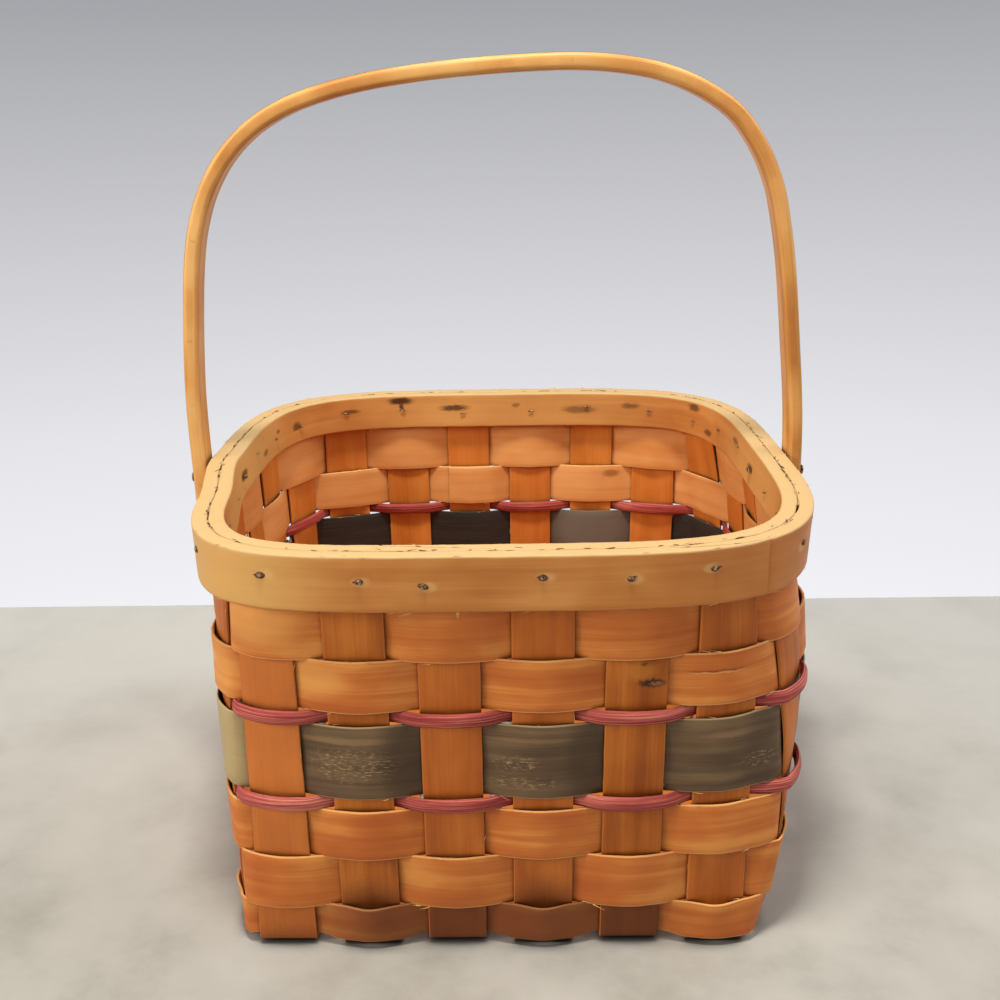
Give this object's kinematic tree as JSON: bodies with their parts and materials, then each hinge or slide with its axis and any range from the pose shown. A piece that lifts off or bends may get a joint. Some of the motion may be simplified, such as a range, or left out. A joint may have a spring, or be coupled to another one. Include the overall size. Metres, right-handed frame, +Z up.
{
  "type": "splint basket",
  "caption": "Square-bottomed basket plaited from flat wooden splints, with a nailed double rim and a bent wooden bail that swings on two pivot nails.",
  "frame": {"origin": "middle of the basket's underside, on the surface that it stands on", "axes": "+Z up, +X to the right along the bail's pivot line, +Y from the front wall to the back"},
  "size_m": [0.3064, 0.2866, 0.3739],
  "materials": {
    "stake": "satin, stained orange-brown, dry and worn",
    "orange": "satin, stained orange, long grain",
    "red": "matte, faded red dye on fibrous reed",
    "green": "matte, faded grey-green dye with pale worn patches",
    "band": "satin, honey coloured, darker in the grain",
    "handle": "satin, honey coloured, smoothed by handling",
    "nail": "dull, darkened iron"
  },
  "bodies": {
    "basket": {"lengthwise_stake_1": "stake", "lengthwise_stake_2": "stake", "lengthwise_stake_3": "stake", "lengthwise_stake_4": "stake", "lengthwise_stake_5": "stake", "lengthwise_stake_6": "stake", "crosswise_stake_1": "stake", "crosswise_stake_2": "stake", "crosswise_stake_3": "stake", "crosswise_stake_4": "stake", "crosswise_stake_5": "stake", "crosswise_stake_6": "stake", "crosswise_stake_7": "stake", "weaver_row_1": "orange", "weaver_row_2": "orange", "weaver_row_3": "orange", "weaver_row_4": "orange", "weaver_row_5": "orange", "green_weaver": "green", "red_reed_upper": "red", "red_reed_lower": "red", "outer_rim_band": "band", "inner_rim_band": "band", "pivot_nail_left": "nail", "pivot_nail_right": "nail", "tack_front_1": "nail", "tack_front_2": "nail", "tack_front_3": "nail", "tack_front_4": "nail", "tack_front_5": "nail", "tack_front_6": "nail", "tack_back_1": "nail", "tack_back_2": "nail", "tack_back_3": "nail", "tack_back_4": "nail", "tack_back_5": "nail", "tack_back_6": "nail", "tack_right_1": "nail", "tack_right_2": "nail", "tack_right_3": "nail", "tack_right_5": "nail", "tack_right_6": "nail", "tack_right_7": "nail", "tack_left_1": "nail", "tack_left_2": "nail", "tack_left_3": "nail", "tack_left_5": "nail", "tack_left_6": "nail", "tack_left_7": "nail"},
    "bail": {"bail_handle": "handle"}
  },
  "joints": [
    {"name": "handle_swing", "type": "hinge", "parent": "basket", "child": "bail", "pos_m": [0, 0, 0.1765], "axis": [1, 0, 0], "range_deg": [-62.5, 62.5]}
  ]
}
